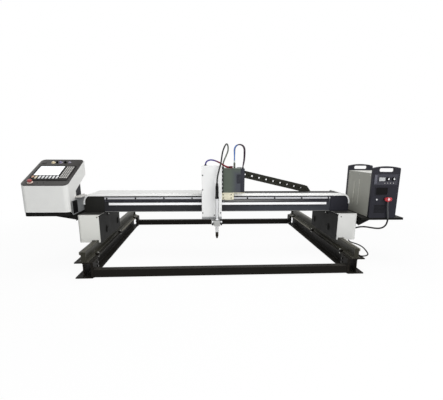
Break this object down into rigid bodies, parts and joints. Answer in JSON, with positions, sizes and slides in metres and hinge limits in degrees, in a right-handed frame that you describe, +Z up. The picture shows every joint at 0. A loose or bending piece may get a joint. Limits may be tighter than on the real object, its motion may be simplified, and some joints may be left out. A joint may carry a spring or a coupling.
{
  "type": "gantry plasma cutting machine",
  "caption": "Gantry plasma cutter on floor rails with a torch lifter, a cable chain, an operator console on the left end and a power supply on the right end.",
  "frame": {"origin": "on the floor, midway between the two rail beams and midway along them", "axes": "+X along the gantry beam to the power supply, +Y along the rails away from the operator, +Z up"},
  "size_m": [3.683, 2.25, 1.178],
  "materials": {
    "black_steel": "matt dark brown-black paint",
    "rail_steel": "rolled steel with a worn running face",
    "zinc_bolt": "zinc plated",
    "gear_steel": "cut steel, lightly oiled",
    "charcoal_paint": "satin charcoal paint",
    "grey_beam": "satin dark grey paint",
    "white_cover": "textured warm white powder coat",
    "white_lifter": "smooth white powder coat",
    "motor_black": "black motor paint",
    "wheel_steel": "turned steel",
    "guide_steel": "ground steel",
    "screw_black": "black oxide",
    "chain_plastic": "matt olive-black plastic",
    "panel_charcoal": "satin charcoal paint",
    "back_grey": "dark grey paint",
    "unit_plastic": "matt black plastic with a dark screen",
    "red_plastic": "glossy red plastic",
    "cream_plastic": "glossy cream plastic",
    "violet_plastic": "glossy blue-violet plastic",
    "black_plastic": "matt black plastic",
    "supply_plastic": "matt blue-black plastic",
    "supply_grey": "mid grey powder coat",
    "zinc_plate": "yellow zinc plated",
    "housing_green": "grey-green paint",
    "alu": "machined aluminium",
    "torch_metal": "steel tube with a black grip",
    "hose_rubber": "black rubber",
    "hose_blue": "blue, plum and violet hoses"
  },
  "bodies": {
    "base": {"left_rail_beam": "black_steel", "right_rail_beam": "black_steel", "front_cross_tube": "black_steel", "rear_cross_tube": "black_steel", "left_rail": "rail_steel", "right_rail": "rail_steel", "rail_clips": "black_steel", "base_bolts": "zinc_bolt", "drive_racks": "gear_steel", "rail_cable": "hose_rubber"},
    "gantry": {"left_carriage": "charcoal_paint", "right_carriage": "charcoal_paint", "left_motor_cover": "white_cover", "right_motor_cover": "white_cover", "drive_motors": "motor_black", "cross_beam": "grey_beam", "beam_top_cover": "white_cover", "left_end_frame": "charcoal_paint", "right_end_frame": "charcoal_paint", "beam_guides": "guide_steel", "guide_screws": "screw_black", "beam_rack": "gear_steel", "chain_trough": "charcoal_paint", "cable_chain": "chain_plastic", "console_bracket": "black_steel", "console_shell": "white_cover", "console_back": "back_grey", "console_panel": "panel_charcoal", "control_unit": "unit_plastic", "supply_bracket": "black_steel", "supply_case": "supply_grey", "supply_front": "supply_plastic", "supply_rear": "supply_plastic", "lead_connector": "red_plastic", "torch_lead": "hose_rubber"},
    "saddle": {"saddle_plate": "zinc_plate", "saddle_motor": "motor_black", "drive_housing": "housing_green", "lifter_frame": "alu", "lifter_shell": "white_lifter", "saddle_hoses": "hose_blue", "torch_hose": "hose_rubber"},
    "torch_body": {"torch_slide": "alu", "torch": "torch_metal", "torch_nozzle": "black_plastic"},
    "left_front_wheel": {"left_front_wheel": "wheel_steel"},
    "left_rear_wheel": {"left_rear_wheel": "wheel_steel"},
    "right_front_wheel": {"right_front_wheel": "wheel_steel"},
    "right_rear_wheel": {"right_rear_wheel": "wheel_steel"},
    "left_pinion": {"left_pinion": "gear_steel"},
    "right_pinion": {"right_pinion": "gear_steel"},
    "saddle_pinion": {"saddle_pinion": "gear_steel"},
    "lifter_screw": {"lifter_screw": "guide_steel"},
    "estop_button": {"estop_button": "red_plastic"},
    "start_button": {"start_button": "cream_plastic"},
    "pause_button": {"pause_button": "violet_plastic"},
    "mode_selector": {"mode_selector": "black_plastic"},
    "speed_knob": {"speed_knob": "black_plastic"},
    "current_knob": {"current_knob": "black_plastic"},
    "pressure_knob": {"pressure_knob": "black_plastic"}
  },
  "joints": [
    {"name": "gantry_travel", "type": "slide", "parent": "base", "child": "gantry", "axis": [0, 1, 0], "range_m": [-0.35, 1.02], "deforming": ["rail_cable"]},
    {"name": "saddle_travel", "type": "slide", "parent": "gantry", "child": "saddle", "axis": [1, 0, 0], "range_m": [-0.85, 0.45], "deforming": ["cable_chain"]},
    {"name": "torch_lift", "type": "slide", "parent": "saddle", "child": "torch_body", "axis": [0, 0, 1], "range_m": [-0.12, 0.03], "deforming": ["torch_hose"]},
    {"name": "left_front_wheel_spin", "type": "hinge", "parent": "gantry", "child": "left_front_wheel", "pos_m": [-1.2265, -0.479, 0.305], "axis": [1, 0, 0], "continuous": true},
    {"name": "left_rear_wheel_spin", "type": "hinge", "parent": "gantry", "child": "left_rear_wheel", "pos_m": [-1.2265, -0.019, 0.305], "axis": [1, 0, 0], "continuous": true},
    {"name": "left_pinion_spin", "type": "hinge", "parent": "gantry", "child": "left_pinion", "pos_m": [-1.29, -0.638, 0.229], "axis": [0, 0, 1], "continuous": true},
    {"name": "right_front_wheel_spin", "type": "hinge", "parent": "gantry", "child": "right_front_wheel", "pos_m": [1.2265, -0.479, 0.305], "axis": [1, 0, 0], "continuous": true},
    {"name": "right_rear_wheel_spin", "type": "hinge", "parent": "gantry", "child": "right_rear_wheel", "pos_m": [1.2265, -0.019, 0.305], "axis": [1, 0, 0], "continuous": true},
    {"name": "right_pinion_spin", "type": "hinge", "parent": "gantry", "child": "right_pinion", "pos_m": [1.29, -0.638, 0.229], "axis": [0, 0, 1], "continuous": true},
    {"name": "saddle_pinion_spin", "type": "hinge", "parent": "saddle", "child": "saddle_pinion", "pos_m": [-0.09, -0.501, 0.596], "axis": [0, 0, 1], "continuous": true},
    {"name": "lifter_screw_spin", "type": "hinge", "parent": "saddle", "child": "lifter_screw", "pos_m": [-0.09, -0.598, 0.66], "axis": [0, 0, 1], "continuous": true},
    {"name": "estop_press", "type": "slide", "parent": "gantry", "child": "estop_button", "axis": [0, 0.3775, -0.926], "range_m": [0, 0.006], "stiffness_N_per_m": 2000, "springref_m": -0.004},
    {"name": "start_press", "type": "slide", "parent": "gantry", "child": "start_button", "axis": [0, 0.3775, -0.926], "range_m": [0, 0.004], "stiffness_N_per_m": 800, "springref_m": -0.003},
    {"name": "pause_press", "type": "slide", "parent": "gantry", "child": "pause_button", "axis": [0, 0.3775, -0.926], "range_m": [0, 0.004], "stiffness_N_per_m": 800, "springref_m": -0.003},
    {"name": "mode_turn", "type": "hinge", "parent": "gantry", "child": "mode_selector", "pos_m": [-1.672, -0.34723, 0.97756], "axis": [0, -0.3775, 0.926], "range_deg": [-45, 45]},
    {"name": "speed_turn", "type": "hinge", "parent": "gantry", "child": "speed_knob", "pos_m": [-1.59, -0.34723, 0.97756], "axis": [0, -0.3775, 0.926], "range_deg": [-140, 140]},
    {"name": "current_turn", "type": "hinge", "parent": "gantry", "child": "current_knob", "pos_m": [1.624, -0.794, 0.849], "axis": [0, -1, 0], "range_deg": [-140, 140]},
    {"name": "pressure_turn", "type": "hinge", "parent": "gantry", "child": "pressure_knob", "pos_m": [1.679, -0.794, 0.849], "axis": [0, -1, 0], "range_deg": [-140, 140]}
  ],
  "couplings": [
    {"joint": "left_front_wheel_spin", "follows": "gantry_travel", "rad_per_m": -16.667},
    {"joint": "left_rear_wheel_spin", "follows": "gantry_travel", "rad_per_m": -16.667},
    {"joint": "left_pinion_spin", "follows": "gantry_travel", "rad_per_m": -33.333},
    {"joint": "right_front_wheel_spin", "follows": "gantry_travel", "rad_per_m": -16.667},
    {"joint": "right_rear_wheel_spin", "follows": "gantry_travel", "rad_per_m": -16.667},
    {"joint": "right_pinion_spin", "follows": "gantry_travel", "rad_per_m": 33.333},
    {"joint": "saddle_pinion_spin", "follows": "saddle_travel", "rad_per_m": 33.333},
    {"joint": "lifter_screw_spin", "follows": "torch_lift", "rad_per_m": 628.32}
  ]
}
